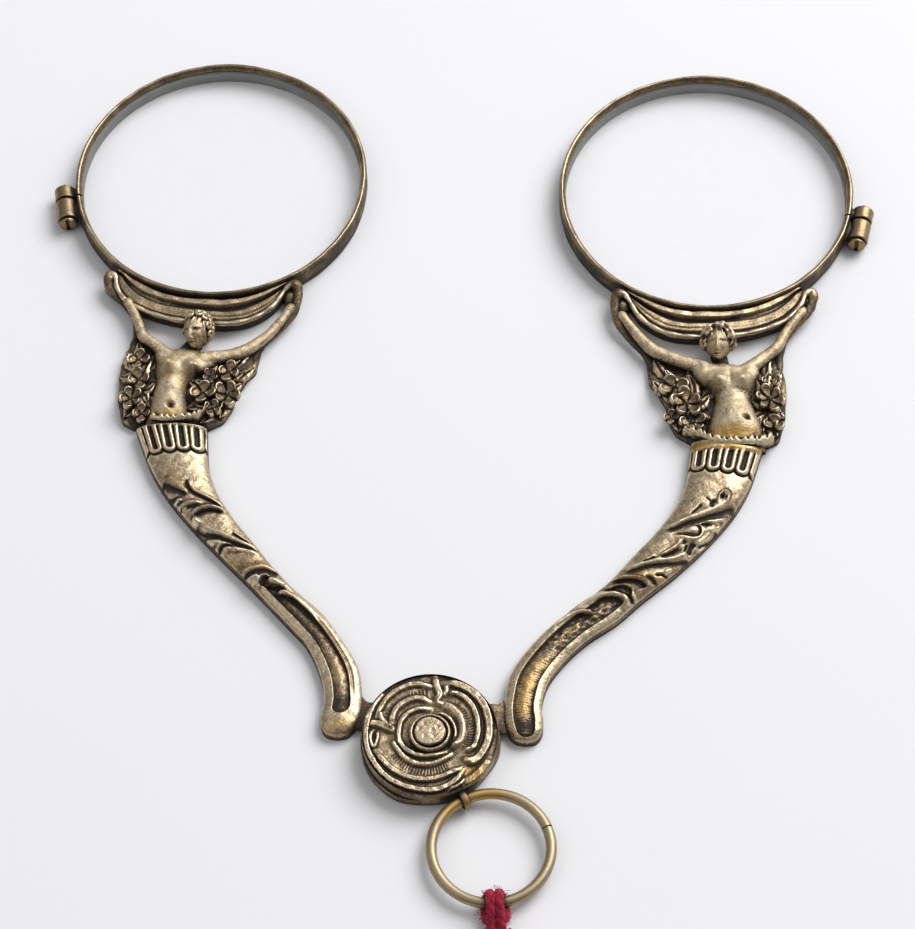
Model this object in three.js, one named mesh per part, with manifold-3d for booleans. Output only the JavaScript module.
// Scissors spectacles: two round lenses on two ornamented arms that turn on one rivet.
// Millimetres. The pivot axis is Z, the back plane is z = 0 and +Z is the decorated front.
// +Y runs up the middle between the rims, and the right arm lies on the +X side.
import * as THREE from 'three';
import { mergeVertices } from 'three/addons/utils/BufferGeometryUtils.js';
import Module from 'manifold-3d';

const wasm = await Module();
wasm.setup();

// Clearances
const SEAT = 0.3; // between pieces that are brazed or seated together
const RUN = 0.2; // between pieces that turn on each other

// Arms and lenses
const ARM_LENGTH = 91; // pivot to rim centre
const HALF_OPENING = THREE.MathUtils.degToRad(21.39); // arm to the middle line, in the resting pose
const RIM_X = ARM_LENGTH * Math.sin(HALF_OPENING);
const RIM_Y = ARM_LENGTH * Math.cos(HALF_OPENING);
const RIM_R = 20;
const RIM_LIP_R = 19.1; // bore of the rim at its two lips
const RIM_GROOVE_R = 19.65; // bottom of the lens groove
const RIM_DEPTH = 3.1;
const GROOVE_HALF = 0.8;
const LENS_R = RIM_GROOVE_R - SEAT;
const LENS_EDGE_HALF = 0.45;
const LENS_CROWN_HALF = 1.0;

// Closing barrels on the outer side of each rim
const SEAM_ANGLE = THREE.MathUtils.degToRad(-11);
const SEAM_WIDTH = 0.3;
const BARREL_R = 1.2;
const BARREL_BORE_R = 0.8;
const UPPER_BARREL = 1.9;
const LOWER_BARREL = 3.1;
const SCREW_R = 0.5;
const SCREW_HEAD_R = 1.05;
const SCREW_HEAD = 0.8;
const SCREW_SLOT = 0.35;

// Pivot
const LOWER_DISC_R = 8.1;
const UPPER_DISC_R = 8.4;
const DISC_THICK = 1.5;
const UPPER_DISC_Z = DISC_THICK + SEAT;
const DISC_TOP = UPPER_DISC_Z + DISC_THICK;
const DISC_EDGE_WIDTH = 0.9; // raised edge of the upper disc
const DISC_EDGE_RISE = 0.4;
const RIVET_R = 1.2;
const RIVET_TAIL_R = 1.9;
const RIVET_TAIL = 0.8; // depth of the flush tail
const RIVET_HEAD_R = 2.0;
const RIVET_TOP = 4.3;
const COLLAR_R = 2.8;
const COLLAR_TOP = 4.1;
const NECK_CLEAR_R = 8.75; // the necks keep this far from the other arm's disc

// Suspension ring and its lug
const RING_R = 7.2; // to the middle of the wire
const WIRE_R = 0.68;
const RING_Z = 1.6;
const LUG_ANGLE = THREE.MathUtils.degToRad(-60.4);
const LUG_R = 9.05; // pivot axis to the middle of the wire in the lug
const LUG_WIDTH = 1.3;
const RING_CUT_ANGLE = THREE.MathUtils.degToRad(23.3);
const HITCH_ANGLE = THREE.MathUtils.degToRad(-84.1);
const RING_X = (LUG_R + RING_R) * Math.cos(LUG_ANGLE);
const RING_Y = (LUG_R + RING_R) * Math.sin(LUG_ANGLE);

// Cord
const CORD_R = 0.625;
const COIL_PITCH = 1.7; // between turns and between layers
const COIL_OUTER_R = 10.3;
const COIL_LAYERS = 4;
const TURNS_PER_LAYER = 4;
const COIL_TURNS = 15 + 2 / 3;
const COIL_X = 18.4;
const COIL_Y = -43;
const COIL_START = Math.PI;
const LOOP_STEPS = 24;
const LOOP_SIDES = 6;
const TIE_R = 0.4;
const TIE_ANGLE = THREE.MathUtils.degToRad(300);

const finishes = {
  gilt: { color: 0xb49a68, roughness: 0.38, metalness: 1 },
  silver: { color: 0xb9a988, roughness: 0.4, metalness: 1 },
  dark: { color: 0x6b5b45, roughness: 0.5, metalness: 1 },
  glass: { color: 0xf4f6f2, roughness: 0.03, metalness: 0, transparent: true, opacity: 0.25 },
  wool: { color: 0x9c1638, roughness: 0.95, metalness: 0 },
};
const materials = Object.fromEntries(
  Object.entries(finishes).map(([name, values]) => [name, new THREE.MeshStandardMaterial(values)]),
);

const spectacles = new THREE.Group();
const vec = (x, y, z) => new THREE.Vector3(x, y, z);

// Shared corners are merged, and triangles that have lost an edge by that are dropped.
function weld(geometry) {
  const bare = new THREE.BufferGeometry();
  bare.setAttribute('position', geometry.getAttribute('position').clone());
  if (geometry.index) bare.setIndex(geometry.index.clone());
  const merged = mergeVertices(bare, 1e-4);
  const corners = merged.index.array;
  const kept = [];
  for (let i = 0; i < corners.length; i += 3) {
    const [a, b, c] = corners.slice(i, i + 3);
    if (a !== b && b !== c && c !== a) kept.push(a, b, c);
  }
  merged.setIndex(kept);
  return merged;
}

// Turns every face round when the closed skin encloses a negative volume.
function outward(geometry) {
  const skin = weld(geometry);
  const corners = Array.from(skin.index.array);
  const at = (i) => vec().fromBufferAttribute(skin.getAttribute('position'), corners[i]);
  let volume = 0;
  for (let i = 0; i < corners.length; i += 3) {
    volume += at(i).dot(at(i + 1).cross(at(i + 2)));
  }
  if (volume < 0) skin.setIndex(corners.reverse());
  return skin;
}

function toSolid(geometry) {
  const skin = outward(geometry);
  const vertProperties = new Float32Array(skin.getAttribute('position').array);
  const triVerts = new Uint32Array(skin.index.array);
  return new wasm.Manifold(new wasm.Mesh({ numProp: 3, vertProperties, triVerts }));
}

function toGeometry(solid) {
  const { vertProperties, triVerts } = solid.getMesh();
  const geometry = new THREE.BufferGeometry();
  geometry.setAttribute('position', new THREE.BufferAttribute(vertProperties, 3));
  geometry.setIndex(new THREE.BufferAttribute(triVerts, 1));
  return geometry;
}

const join = (...shapes) => toGeometry(shapes.map(toSolid).reduce((all, one) => all.add(one)));

// What is left of a shape after its tools have been taken out; a loose sliver is dropped.
function cut(shape, ...tools) {
  const rest = tools.map(toSolid).reduce((left, one) => left.subtract(one), toSolid(shape));
  const bodies = rest.decompose().sort((a, b) => b.volume() - a.volume());
  return toGeometry(bodies[0]);
}

function add(name, geometry, material, mirrored = false) {
  const shape = mirrored ? geometry.clone().scale(-1, 1, 1) : geometry;
  const piece = new THREE.Mesh(outward(shape), materials[material]);
  piece.geometry.computeVertexNormals();
  piece.name = name;
  spectacles.add(piece);
}

const middle = (points) => points.reduce((sum, p) => sum.add(p), vec(0, 0, 0)).divideScalar(points.length);

// A closed skin through rings of points, with each end closed by a fan round the ring's middle.
function loft(rings) {
  const sides = rings[0].length;
  const points = [...rings.flat(), middle(rings[0]), middle(rings.at(-1))];
  const last = (rings.length - 1) * sides;
  const index = [];
  for (let side = 0; side < sides; side += 1) {
    const next = (side + 1) % sides;
    for (let base = 0; base < last; base += sides) {
      index.push(base + side, base + next, base + sides + next);
      index.push(base + side, base + sides + next, base + sides + side);
    }
    index.push(points.length - 2, next, side);
    index.push(points.length - 1, last + side, last + next);
  }
  const geometry = new THREE.BufferGeometry().setFromPoints(points);
  geometry.setIndex(index);
  return geometry;
}

// A round tube along a smooth curve; the radius is one number for each of the curve's points.
function limb(points, radii, steps, sides) {
  const curve = new THREE.CatmullRomCurve3(points);
  const frames = curve.computeFrenetFrames(steps, false);
  const radiusCurve = new THREE.CatmullRomCurve3(radii.map((r) => vec(r, 0, 0)));
  const rings = frames.normals.map((normal, i) => {
    const centre = curve.getPointAt(i / steps);
    const radius = radiusCurve.getPoint(i / steps).x;
    return Array.from({ length: sides }, (_, k) => {
      const turn = (2 * Math.PI * k) / sides;
      return centre
        .clone()
        .addScaledVector(normal, radius * Math.cos(turn))
        .addScaledVector(frames.binormals[i], radius * Math.sin(turn));
    });
  });
  return loft(rings);
}

// A profile of [radius, height] points turned about the Z axis.
function turned(profile, segments) {
  const points = profile.map(([radius, height]) => new THREE.Vector2(radius, height));
  return new THREE.LatheGeometry(points, segments).rotateX(Math.PI / 2);
}

const closed = (profile) => [...profile, profile[0]];

function box(low, high) {
  const size = high.map((value, i) => value - low[i]);
  const centre = high.map((value, i) => (value + low[i]) / 2);
  return new THREE.BoxGeometry(...size).translate(...centre);
}

// Lenses and rims, worked out about the rim's own axis
const toRim = (geometry) => geometry.translate(RIM_X, RIM_Y, 0);

function rim() {
  const half = RIM_DEPTH / 2;
  const band = turned(
    closed([
      [RIM_LIP_R, 0],
      [RIM_R, 0],
      [RIM_R, RIM_DEPTH],
      [RIM_LIP_R, RIM_DEPTH],
      [RIM_LIP_R, half + GROOVE_HALF],
      [RIM_GROOVE_R, half],
      [RIM_LIP_R, half - GROOVE_HALF],
    ]),
    48,
  );
  const seam = box([RIM_LIP_R - 1, -SEAM_WIDTH / 2, -1], [RIM_R + 1, SEAM_WIDTH / 2, RIM_DEPTH + 1]);
  return toRim(cut(band, seam.rotateZ(SEAM_ANGLE)));
}

function lens() {
  const half = RIM_DEPTH / 2;
  const lipR = RIM_LIP_R - SEAT;
  const mid = RIM_R / 2;
  const midHalf = (LENS_EDGE_HALF + 3 * LENS_CROWN_HALF) / 4; // the crown is a shallow parabola
  const profile = [
    [0, half - LENS_CROWN_HALF],
    [mid, half - midHalf],
    [lipR, half - LENS_EDGE_HALF],
    [LENS_R, half],
    [lipR, half + LENS_EDGE_HALF],
    [mid, half + midHalf],
    [0, half + LENS_CROWN_HALF],
  ];
  return toRim(turned(profile, 36));
}

// Barrel pieces are turned about Z, laid along the rim's tangent at the seam and moved to the rim.
function toSeam(geometry) {
  geometry.rotateX(-Math.PI / 2);
  geometry.translate(RIM_R + SEAT + BARREL_R, 0, RIM_DEPTH / 2);
  return toRim(geometry.rotateZ(SEAM_ANGLE));
}

function barrel(from, to) {
  const wall = [[BARREL_BORE_R, from], [BARREL_R, from], [BARREL_R, to], [BARREL_BORE_R, to]];
  const tube = turned(closed(wall), 14);
  const inset = 0.3;
  const footLow = [-BARREL_R - SEAT / 3, -BARREL_BORE_R, from + inset];
  const foot = box(footLow, [-BARREL_BORE_R - 0.1, BARREL_BORE_R, to - inset]);
  return toSeam(join(tube, foot));
}

function closingScrew() {
  const underHead = -SEAM_WIDTH / 2 - LOWER_BARREL - SEAT;
  const tip = UPPER_BARREL;
  const face = underHead - SCREW_HEAD;
  const head = [[0, face], [SCREW_HEAD_R, face], [SCREW_HEAD_R, underHead]];
  const screw = turned([...head, [SCREW_R, underHead], [SCREW_R, tip], [0, tip]], 14);
  const slotTop = underHead - SCREW_HEAD / 2;
  const slot = box([-2, -SCREW_SLOT / 2, underHead - 2], [2, SCREW_SLOT / 2, slotTop]);
  return toSeam(cut(screw, slot));
}

// Stem: rows of inner edge x, y, outer edge x, y and crown height, from the foot to the figure
const STEM_FOOT = [
  [10.9, -0.2, 12.4, -0.25, 1.7],
  [9.5, 1.9, 13.75, 1.9, 2.2],
  [9.2, 5.6, 13.45, 5.2, 2.2],
  [9.6, 9.8, 14.2, 8.7, 2.2],
];
const STEM_TOP = [31.5, 44.0, 40.8, 43.6, 3.2];
// The left stem is slimmer between foot and figure
const STEM_ROWS = {
  right: [
    ...STEM_FOOT,
    [11.8, 13.7, 16.3, 12.0, 2.2],
    [14.8, 17.3, 19.1, 15.0, 2.2],
    [18.4, 20.4, 22.5, 17.7, 2.3],
    [21.4, 23.3, 25.6, 20.9, 2.5],
    [24.2, 27.0, 29.7, 24.8, 2.6],
    [27.2, 30.8, 33.4, 28.9, 2.7],
    [29.6, 34.7, 36.9, 33.6, 2.8],
    [30.9, 38.6, 39.2, 38.2, 2.9],
    STEM_TOP,
  ],
  left: [
    ...STEM_FOOT,
    [11.8, 13.7, 16.1, 12.7, 2.2],
    [14.6, 17.45, 18.7, 15.6, 2.2],
    [18.2, 20.65, 21.7, 18.8, 2.3],
    [21.15, 23.75, 24.6, 21.8, 2.5],
    [23.95, 27.25, 28.3, 25.5, 2.6],
    [27.0, 31.05, 32.2, 29.6, 2.7],
    [29.45, 34.95, 35.9, 34.1, 2.8],
    [30.8, 38.7, 38.5, 38.4, 2.9],
    STEM_TOP,
  ],
};
const STEM_WALL = 1.3;
const STEM_STEPS = 26;
const STEM_ARCH = 6; // flats across the crown
const PANEL_FLOOR = 1.5;
const PANEL_SPAN = [0.08, 0.5]; // share of the stem's length
const PANEL_SIDES = [0.27, 0.73]; // share of the stem's width

const smooth = (points) => new THREE.CatmullRomCurve3(points, false, 'catmullrom');

function stem(side) {
  const inner = smooth(STEM_ROWS[side].map(([x, y, , , height]) => vec(x, y, height)));
  const outer = smooth(STEM_ROWS[side].map(([, , x, y, height]) => vec(x, y, height)));
  const stemPoint = (along, across, z) =>
    inner.getPoint(along).lerp(outer.getPoint(along), across).setZ(z);
  const rings = Array.from({ length: STEM_STEPS + 1 }, (_, i) => {
    const along = i / STEM_STEPS;
    const rise = inner.getPoint(along).z - STEM_WALL;
    const arch = Array.from({ length: STEM_ARCH + 1 }, (__, k) => {
      const across = 1 - k / STEM_ARCH;
      return stemPoint(along, across, STEM_WALL + rise * Math.sin(Math.PI * across) ** 0.7);
    });
    return [stemPoint(along, 0, 0), stemPoint(along, 1, 0), ...arch];
  });
  const panelSteps = 10;
  const [low, high] = PANEL_SIDES;
  const panel = Array.from({ length: panelSteps + 1 }, (_, i) => {
    const along = THREE.MathUtils.lerp(...PANEL_SPAN, i / panelSteps);
    const above = STEM_WALL * 3;
    const corners = [[low, PANEL_FLOOR], [high, PANEL_FLOOR], [high, above], [low, above]];
    return corners.map(([across, z]) => stemPoint(along, across, z));
  });
  return cut(loft(rings), loft(panel));
}

// Caryatid: rows of height y, middle x, half width and front z up the torso
const TORSO_ROWS = [
  [44.4, 36.6, 4.4, 2.7],
  [46.4, 36.7, 3.5, 3.5],
  [48.6, 36.8, 2.9, 3.9],
  [51.8, 36.8, 2.1, 3.3],
  [54.6, 36.4, 3.0, 4.1],
  [56.2, 36.0, 3.5, 3.4],
  [57.0, 35.8, 1.5, 2.8],
];
const FIGURE_BACK = 0.3;
const HEAD_RADII = [2.1, 2.7, 2.1];
const HAIR_RADII = [2.5, 2.3, 2.1];
const HEAD_PLACE = { left: vec(34.1, 59.5, 3.4), right: vec(34.9, 60.1, 3.4) };
const HAIR_SHIFT = vec(-0.1, 1.0, -0.5);
const NECK_R = 1.0;
const HAND_R = 1.05;
const INNER_ARM = [
  vec(34, 55.6, 2.2),
  vec(29.6, 56.9, 2.0),
  vec(26.2, 58.5, 1.9),
  vec(23.6, 62.0, 1.9),
  vec(22.0, 66.0, 2.2),
];
const OUTER_ARM = [
  vec(38.6, 55.6, 2.2),
  vec(41.5, 57.4, 2.0),
  vec(43.1, 60.2, 1.9),
  vec(45.1, 63.5, 1.9),
  vec(46.8, 67.1, 2.2),
];
const ARM_RADII = [1.25, 1.2, 1.1, 1.05, 0.85];
const INNER_HAND = vec(22.0, 66.3, 2.3);
const OUTER_HAND = vec(46.9, 67.5, 2.3);

const ball = (centre, radii, columns, rows) =>
  new THREE.SphereGeometry(1, columns, rows).scale(...radii).translate(centre.x, centre.y, centre.z);

// The whole figure, or with grow over 0 the room that its neighbours leave for it
function caryatid(side, grow) {
  const swell = (radii) => radii.map((r) => r + grow);
  const head = HEAD_PLACE[side];
  const torsoSides = 10;
  const torso = loft(
    TORSO_ROWS.map(([y, x, half, front], i) => {
      const end = i === 0 ? -grow : 0;
      return Array.from({ length: torsoSides + 1 }, (_, k) => {
        const turn = (Math.PI * k) / torsoSides;
        const height = FIGURE_BACK - grow + (front - FIGURE_BACK + 2 * grow) * Math.sin(turn);
        return vec(x + (half + grow) * Math.cos(turn), y + end, height);
      });
    }),
  );
  const neckPath = [vec(35.8, 56.0, 2.1), head.clone().lerp(vec(35.8, 56.0, 2.1), 0.4), head];
  return join(
    torso,
    limb(neckPath, swell([NECK_R, NECK_R, NECK_R]), 3, 7),
    ball(head, swell(HEAD_RADII), 12, 8),
    ball(head.clone().add(HAIR_SHIFT), swell(HAIR_RADII), 12, 6),
    limb(INNER_ARM, swell(ARM_RADII), 8, 7),
    limb(OUTER_ARM, swell(ARM_RADII), 8, 7),
    ball(INNER_HAND, swell([HAND_R, HAND_R, HAND_R]), 8, 6),
    ball(OUTER_HAND, swell([HAND_R, HAND_R, HAND_R]), 8, 6),
  );
}

// Swag: a cloth in three folds, hung in a crescent below the rim between the hands
const SWAG_FROM = THREE.MathUtils.degToRad(242);
const SWAG_TO = THREE.MathUtils.degToRad(305.5);
const SWAG_END_DROP = 1.6; // hem below the rim at the hands
const SWAG_MID_DROP = 4.5; // hem below the rim in the middle
const SWAG_FOLDS = 3;
const SWAG_BACK = 0.3;
const SWAG_LOW = 1.5;
const SWAG_HIGH = 2.5;
const SWAG_STEPS = 16;
const SWAG_FLATS = 9;

function swag(figureRoom) {
  const rings = Array.from({ length: SWAG_STEPS + 1 }, (_, i) => {
    const share = i / SWAG_STEPS;
    const turn = THREE.MathUtils.lerp(SWAG_FROM, SWAG_TO, share);
    const drop = SWAG_END_DROP + (SWAG_MID_DROP - SWAG_END_DROP) * Math.sin(Math.PI * share);
    const place = (down, z) => {
      const r = RIM_R + SEAT + down * (drop - SEAT);
      return vec(RIM_X + r * Math.cos(turn), RIM_Y + r * Math.sin(turn), z);
    };
    const folds = Array.from({ length: SWAG_FLATS + 1 }, (__, k) => {
      const down = 1 - k / SWAG_FLATS;
      const fold = Math.abs(Math.sin(Math.PI * SWAG_FOLDS * down));
      return place(down, SWAG_LOW + (SWAG_HIGH - SWAG_LOW) * fold);
    });
    return [place(0, SWAG_BACK), place(1, SWAG_BACK), ...folds];
  });
  return cut(loft(rings), figureRoom);
}

// Flower sprays: a wavy back plate with blossoms on it, on both sides of the torso
const SPRAY_PLATE = 1.5;
const BLOSSOM_RISE = 1.3;
// Outlines are x, y points on a smooth closed curve, blossoms are x, y and radius.
const INNER_SPRAY = {
  outline: [
    [32.6, 44.8],
    [30.0, 45.6],
    [28.6, 47.4],
    [27.8, 50.2],
    [26.9, 52.6],
    [25.9, 54.6],
    [26.6, 56.4],
    [30.5, 55.2],
    [34.0, 52.4],
    [33.8, 48.2],
  ],
  blossoms: [
    [30.3, 53.2, 1.2],
    [31.9, 51.0, 1.4],
    [31.5, 48.7, 1.4],
    [28.9, 50.9, 1.0],
    [29.9, 47.1, 1.0],
    [27.9, 54.2, 0.9],
  ],
};
const OUTER_SPRAY = {
  outline: [
    [40.6, 44.8],
    [42.6, 45.3],
    [43.6, 48.0],
    [43.9, 51.4],
    [43.9, 54.2],
    [43.3, 56.2],
    [41.4, 55.2],
    [39.6, 52.6],
    [39.9, 48.4],
  ],
  blossoms: [
    [42.0, 54.3, 1.1],
    [41.6, 51.6, 1.5],
    [42.2, 48.7, 1.1],
    [41.8, 46.5, 0.9],
  ],
};

function spray({ outline, blossoms }, figureRoom) {
  const edge = new THREE.CatmullRomCurve3(outline.map(([x, y]) => vec(x, y, 0)), true);
  const corners = edge.getPoints(2 * outline.length).slice(0, -1);
  const shape = new THREE.Shape(corners.map(({ x, y }) => new THREE.Vector2(x, y)));
  const plate = new THREE.ExtrudeGeometry(shape, { depth: SPRAY_PLATE, bevelEnabled: false });
  const heads = blossoms.map(([x, y, r]) => ball(vec(x, y, SPRAY_PLATE), [r, r, BLOSSOM_RISE], 8, 5));
  return cut(join(plate, ...heads), figureRoom);
}

// Discs of the pivot with the necks that carry the stems
const NECK_OUTLINE = [[6.6, 1.2], [8.7, 1.0], [9.2, 1.6], [8.9, 4.9], [8.3, 5.3], [6.4, 4.9]];
const NECK_TOP = 2.7;

function neck(bottom, top) {
  const shape = new THREE.Shape(NECK_OUTLINE.map(([x, y]) => new THREE.Vector2(x, y)));
  const block = new THREE.ExtrudeGeometry(shape, { depth: top - bottom, bevelEnabled: false });
  return block.translate(0, 0, bottom);
}

function roundClearance(from, to) {
  return turned([[0, from], [NECK_CLEAR_R, from], [NECK_CLEAR_R, to], [0, to]], 40);
}

function lowerDisc() {
  const bore = RIVET_R + SEAT;
  const sink = RIVET_TAIL_R + SEAT;
  const wall = [[LOWER_DISC_R, 0], [LOWER_DISC_R, DISC_THICK], [bore, DISC_THICK]];
  const disc = turned(closed([[sink, 0], ...wall, [bore, RIVET_TAIL]]), 40);
  const leftNeck = cut(neck(0, NECK_TOP), roundClearance(DISC_THICK, NECK_TOP + 1)).scale(-1, 1, 1);
  return join(disc, leftNeck);
}

function upperDisc() {
  const bore = RIVET_R + RUN;
  const rise = DISC_TOP + DISC_EDGE_RISE;
  const field = UPPER_DISC_R - DISC_EDGE_WIDTH;
  const crest = UPPER_DISC_R - DISC_EDGE_WIDTH / 2;
  const edge = [[UPPER_DISC_R, UPPER_DISC_Z], [UPPER_DISC_R, DISC_TOP], [crest, rise]];
  const disc = turned(closed([[bore, UPPER_DISC_Z], ...edge, [field, DISC_TOP], [bore, DISC_TOP]]), 40);
  return join(disc, cut(neck(SEAT, NECK_TOP), roundClearance(0, UPPER_DISC_Z)));
}

function pivotRivet() {
  const underHead = DISC_TOP + SEAT;
  const tail = [[0, 0], [RIVET_TAIL_R, 0], [RIVET_R, RIVET_TAIL], [RIVET_R, underHead]];
  return turned([...tail, [RIVET_HEAD_R, underHead], [RIVET_HEAD_R, RIVET_TOP], [0, RIVET_TOP]], 24);
}

function rivetCollar() {
  const low = DISC_TOP + SEAT;
  const bore = RIVET_HEAD_R + SEAT;
  const crest = (bore + COLLAR_R) / 2;
  const shoulder = COLLAR_TOP - SEAT;
  const outside = [[COLLAR_R, low], [COLLAR_R, shoulder]];
  return turned(closed([[bore, low], ...outside, [crest, COLLAR_TOP], [bore, shoulder]]), 24);
}

// The lug is a hook, open towards the disc's wall, which closes it round the wire.
function ringLug() {
  const hook = new THREE.Shape();
  const eye = WIRE_R + RUN;
  const low = 0.1;
  const high = 3.0;
  const outer = LUG_R + eye + 0.5;
  const lowRoot = LOWER_DISC_R + SEAT;
  const highRoot = UPPER_DISC_R + SEAT;
  hook.moveTo(lowRoot, low);
  hook.lineTo(outer, low);
  hook.lineTo(outer, high);
  hook.lineTo(highRoot, high);
  hook.lineTo(highRoot, RING_Z + eye);
  hook.absarc(LUG_R, RING_Z, eye, Math.PI / 2, -Math.PI / 2, true);
  hook.lineTo(lowRoot, RING_Z - eye);
  const options = { depth: LUG_WIDTH, bevelEnabled: false, curveSegments: 8 };
  const plate = new THREE.ExtrudeGeometry(hook, options);
  return plate.translate(0, 0, -LUG_WIDTH / 2).rotateX(Math.PI / 2).rotateZ(LUG_ANGLE);
}

const toRing = (geometry) => geometry.translate(RING_X, RING_Y, RING_Z);

function suspensionRing() {
  const wire = new THREE.TorusGeometry(RING_R, WIRE_R, 8, 36);
  const gap = box([RING_R - 1, -SEAM_WIDTH / 2, -1], [RING_R + 1, SEAM_WIDTH / 2, 1]);
  return toRing(cut(wire, gap.rotateZ(RING_CUT_ANGLE)));
}

// Hitch: two strands round the wire, drawn together by a bar on the outer side
function cordHitch() {
  const strandHalf = [0.3, CORD_R]; // pressed flat round the wire
  const loopR = WIRE_R + SEAT + strandHalf[0];
  const section = Array.from({ length: 6 }, (_, k) => {
    const turn = (Math.PI * k) / 3;
    return [loopR + strandHalf[0] * Math.cos(turn), strandHalf[1] * Math.sin(turn)];
  });
  const apart = 0.95 * CORD_R;
  const strand = (shift) => turned(closed(section), 12).translate(0, 0, shift).rotateX(Math.PI / 2);
  const bar = ball(vec(loopR + 0.75, 0, -0.3), [0.85, 1.55, 1.1], 10, 6);
  const hitch = join(strand(-apart), strand(apart), bar);
  return toRing(hitch.translate(RING_R, 0, 0).rotateZ(HITCH_ANGLE));
}

// Coil: layers that spiral in and out in turn and climb in the half turn round each reversal
function coilPoint(turns) {
  const phase = turns % (2 * TURNS_PER_LAYER);
  const inward = Math.min(phase, 2 * TURNS_PER_LAYER - phase);
  const radius = COIL_OUTER_R - COIL_PITCH * inward;
  let layer = 0;
  for (let k = 1; k < COIL_LAYERS; k += 1) {
    layer += THREE.MathUtils.clamp((turns - k * TURNS_PER_LAYER) * 2 + 0.5, 0, 1);
  }
  const angle = COIL_START + 2 * Math.PI * turns;
  const height = CORD_R + COIL_PITCH * layer;
  return vec(COIL_X + radius * Math.cos(angle), COIL_Y + radius * Math.sin(angle), height);
}

function coilRoute() {
  const steps = Math.round(COIL_TURNS * LOOP_STEPS);
  const points = Array.from({ length: steps + 1 }, (_, i) => coilPoint((COIL_TURNS * i) / steps));
  const stub = (end, inner) => end.clone().add(end.clone().sub(inner).setLength(2 * CORD_R));
  return [stub(points[0], points[1]), ...points, stub(points.at(-1), points.at(-2))];
}

function leastGap(points) {
  const apart = LOOP_STEPS / 2;
  let least = Infinity;
  points.forEach((a, i) => {
    points.slice(i + apart).forEach((b) => {
      least = Math.min(least, a.distanceTo(b));
    });
  });
  return least - 2 * CORD_R;
}

function cordCoil(points) {
  const up = vec(0, 0, 1);
  const rings = points.map((centre, i) => {
    const ahead = points[Math.min(i + 1, points.length - 1)];
    const behind = points[Math.max(i - 1, 0)];
    const across = ahead.clone().sub(behind).cross(up).normalize();
    return Array.from({ length: LOOP_SIDES }, (_, k) => {
      const turn = (2 * Math.PI * (k + 0.5)) / LOOP_SIDES;
      const offset = across.clone().multiplyScalar(Math.cos(turn)).addScaledVector(up, Math.sin(turn));
      return centre.clone().addScaledVector(offset, CORD_R);
    });
  });
  return loft(rings);
}

// Strands between the hitch and the two ends of the coil
const STRAND_OUT = [
  vec(8.1, -24.4, 0.9),
  vec(8.1, -25.6, 0.75),
  vec(8.1, -28.5, CORD_R),
  vec(8.0, -33.0, CORD_R),
  vec(8.05, -37.5, CORD_R),
  vec(8.1, -41.45, CORD_R),
];
const STRAND_BACK = [
  vec(22.1, -33.95, 5.72),
  vec(20.6, -33.1, 5.5),
  vec(18.1, -31.6, 4.3),
  vec(15.6, -29.7, 2.2),
  vec(13.4, -27.6, 0.9),
  vec(11.7, -25.9, 0.7),
  vec(10.3, -24.5, 0.9),
];

function cordStrand(points, steps) {
  const section = new THREE.Shape().absarc(0, 0, CORD_R, 0, 2 * Math.PI);
  const extrudePath = new THREE.CatmullRomCurve3(points);
  return new THREE.ExtrudeGeometry(section, { steps, extrudePath, curveSegments: 4, bevelEnabled: false });
}

function coilTie() {
  const clear = CORD_R + SEAT + TIE_R;
  const near = COIL_OUTER_R - COIL_PITCH * TURNS_PER_LAYER - clear;
  const far = COIL_OUTER_R + clear;
  const top = CORD_R + COIL_PITCH * (COIL_LAYERS - 1) + clear;
  const rise = (x) => [vec(x, 0, TIE_R), vec(x, 0, top - 1)];
  const path = [...rise(near), vec(near + 1, 0, top), vec(far - 1, 0, top), ...rise(far).reverse()];
  const thread = limb(path, path.map(() => TIE_R), 14, 6);
  return thread.rotateZ(TIE_ANGLE).translate(COIL_X, COIL_Y, 0);
}

for (const side of ['left', 'right']) {
  const mirrored = side === 'left';
  const figureRoom = caryatid(side, SEAT);
  const gap = SEAM_WIDTH / 2;
  add(`${side}_rim`, rim(), 'gilt', mirrored);
  add(`${side}_lens`, lens(), 'glass', mirrored);
  add(`${side}_upper_barrel`, barrel(gap, gap + UPPER_BARREL), 'silver', mirrored);
  add(`${side}_lower_barrel`, barrel(-gap - LOWER_BARREL, -gap), 'silver', mirrored);
  add(`${side}_closing_screw`, closingScrew(), 'dark', mirrored);
  add(`${side}_stem`, stem(side), 'silver', mirrored);
  add(`${side}_caryatid`, caryatid(side, 0), 'silver', mirrored);
  add(`${side}_swag`, swag(figureRoom), 'gilt', mirrored);
  add(`${side}_inner_spray`, spray(INNER_SPRAY, figureRoom), 'dark', mirrored);
  add(`${side}_outer_spray`, spray(OUTER_SPRAY, figureRoom), 'dark', mirrored);
}
add('lower_disc', lowerDisc(), 'dark');
add('upper_disc', upperDisc(), 'gilt');
add('pivot_rivet', pivotRivet(), 'silver');
add('rivet_collar', rivetCollar(), 'gilt');
add('ring_lug', ringLug(), 'dark');
add('suspension_ring', suspensionRing(), 'gilt');

const route = coilRoute();
console.log(`least gap in the coil: ${leastGap(route).toFixed(2)} mm`);
add('cord_hitch', cordHitch(), 'wool');
add('cord_strand_out', cordStrand(STRAND_OUT, 7), 'wool');
add('cord_coil', cordCoil(route), 'wool');
add('cord_strand_back', cordStrand(STRAND_BACK, 9), 'wool');
add('coil_tie', coilTie(), 'wool');

export default spectacles;
